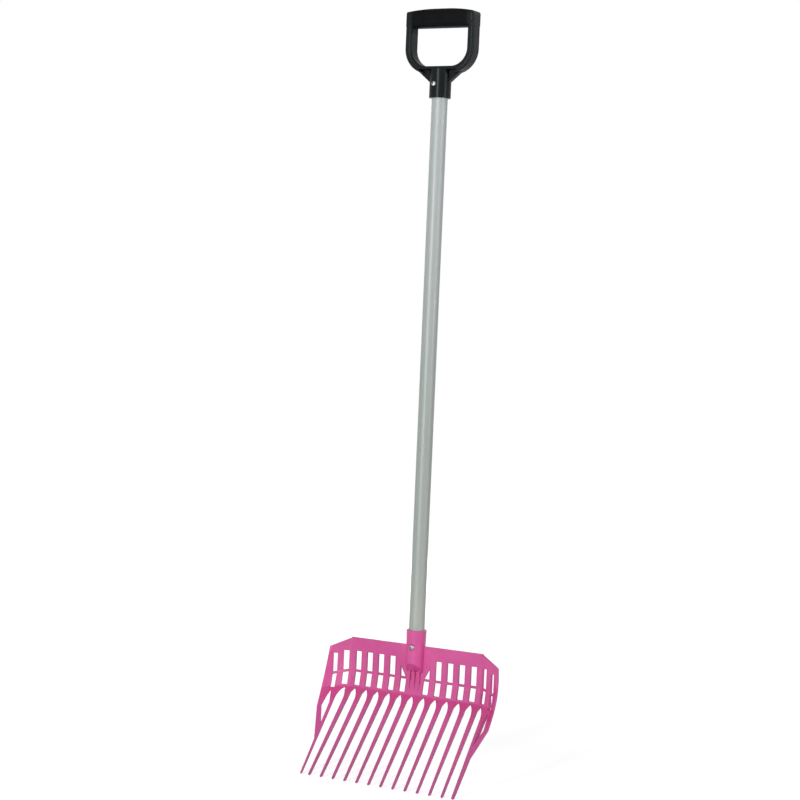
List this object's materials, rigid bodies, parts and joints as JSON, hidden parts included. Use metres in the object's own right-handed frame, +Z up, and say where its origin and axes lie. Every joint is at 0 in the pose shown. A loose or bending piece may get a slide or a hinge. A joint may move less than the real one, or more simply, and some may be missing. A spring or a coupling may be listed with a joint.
{
  "type": "manure fork",
  "caption": "Long-handled manure fork: a moulded comb head with slotted plate, folded wings and sloping tines on a straight tube, with a D-shaped hand grip.",
  "frame": {"origin": "middle of the flat underside of the grip's bar, where a hook carries the tool", "axes": "+Z up along the tube towards the grip, X across the head, the open side of the scoop and the tines point to -Y"},
  "size_m": [0.3442, 0.1536, 1.3446],
  "materials": {
    "head_plastic": "satin moulded pink plastic",
    "tube_metal": "satin grey drawn tube",
    "grip_plastic": "black moulded plastic, satin bar and glossier socket",
    "screw_steel": "zinc plated"
  },
  "bodies": {
    "root": {"fork_head": "head_plastic", "handle_tube": "tube_metal", "d_grip": "grip_plastic", "head_screw": "screw_steel", "grip_screw": "screw_steel"}
  },
  "joints": []
}
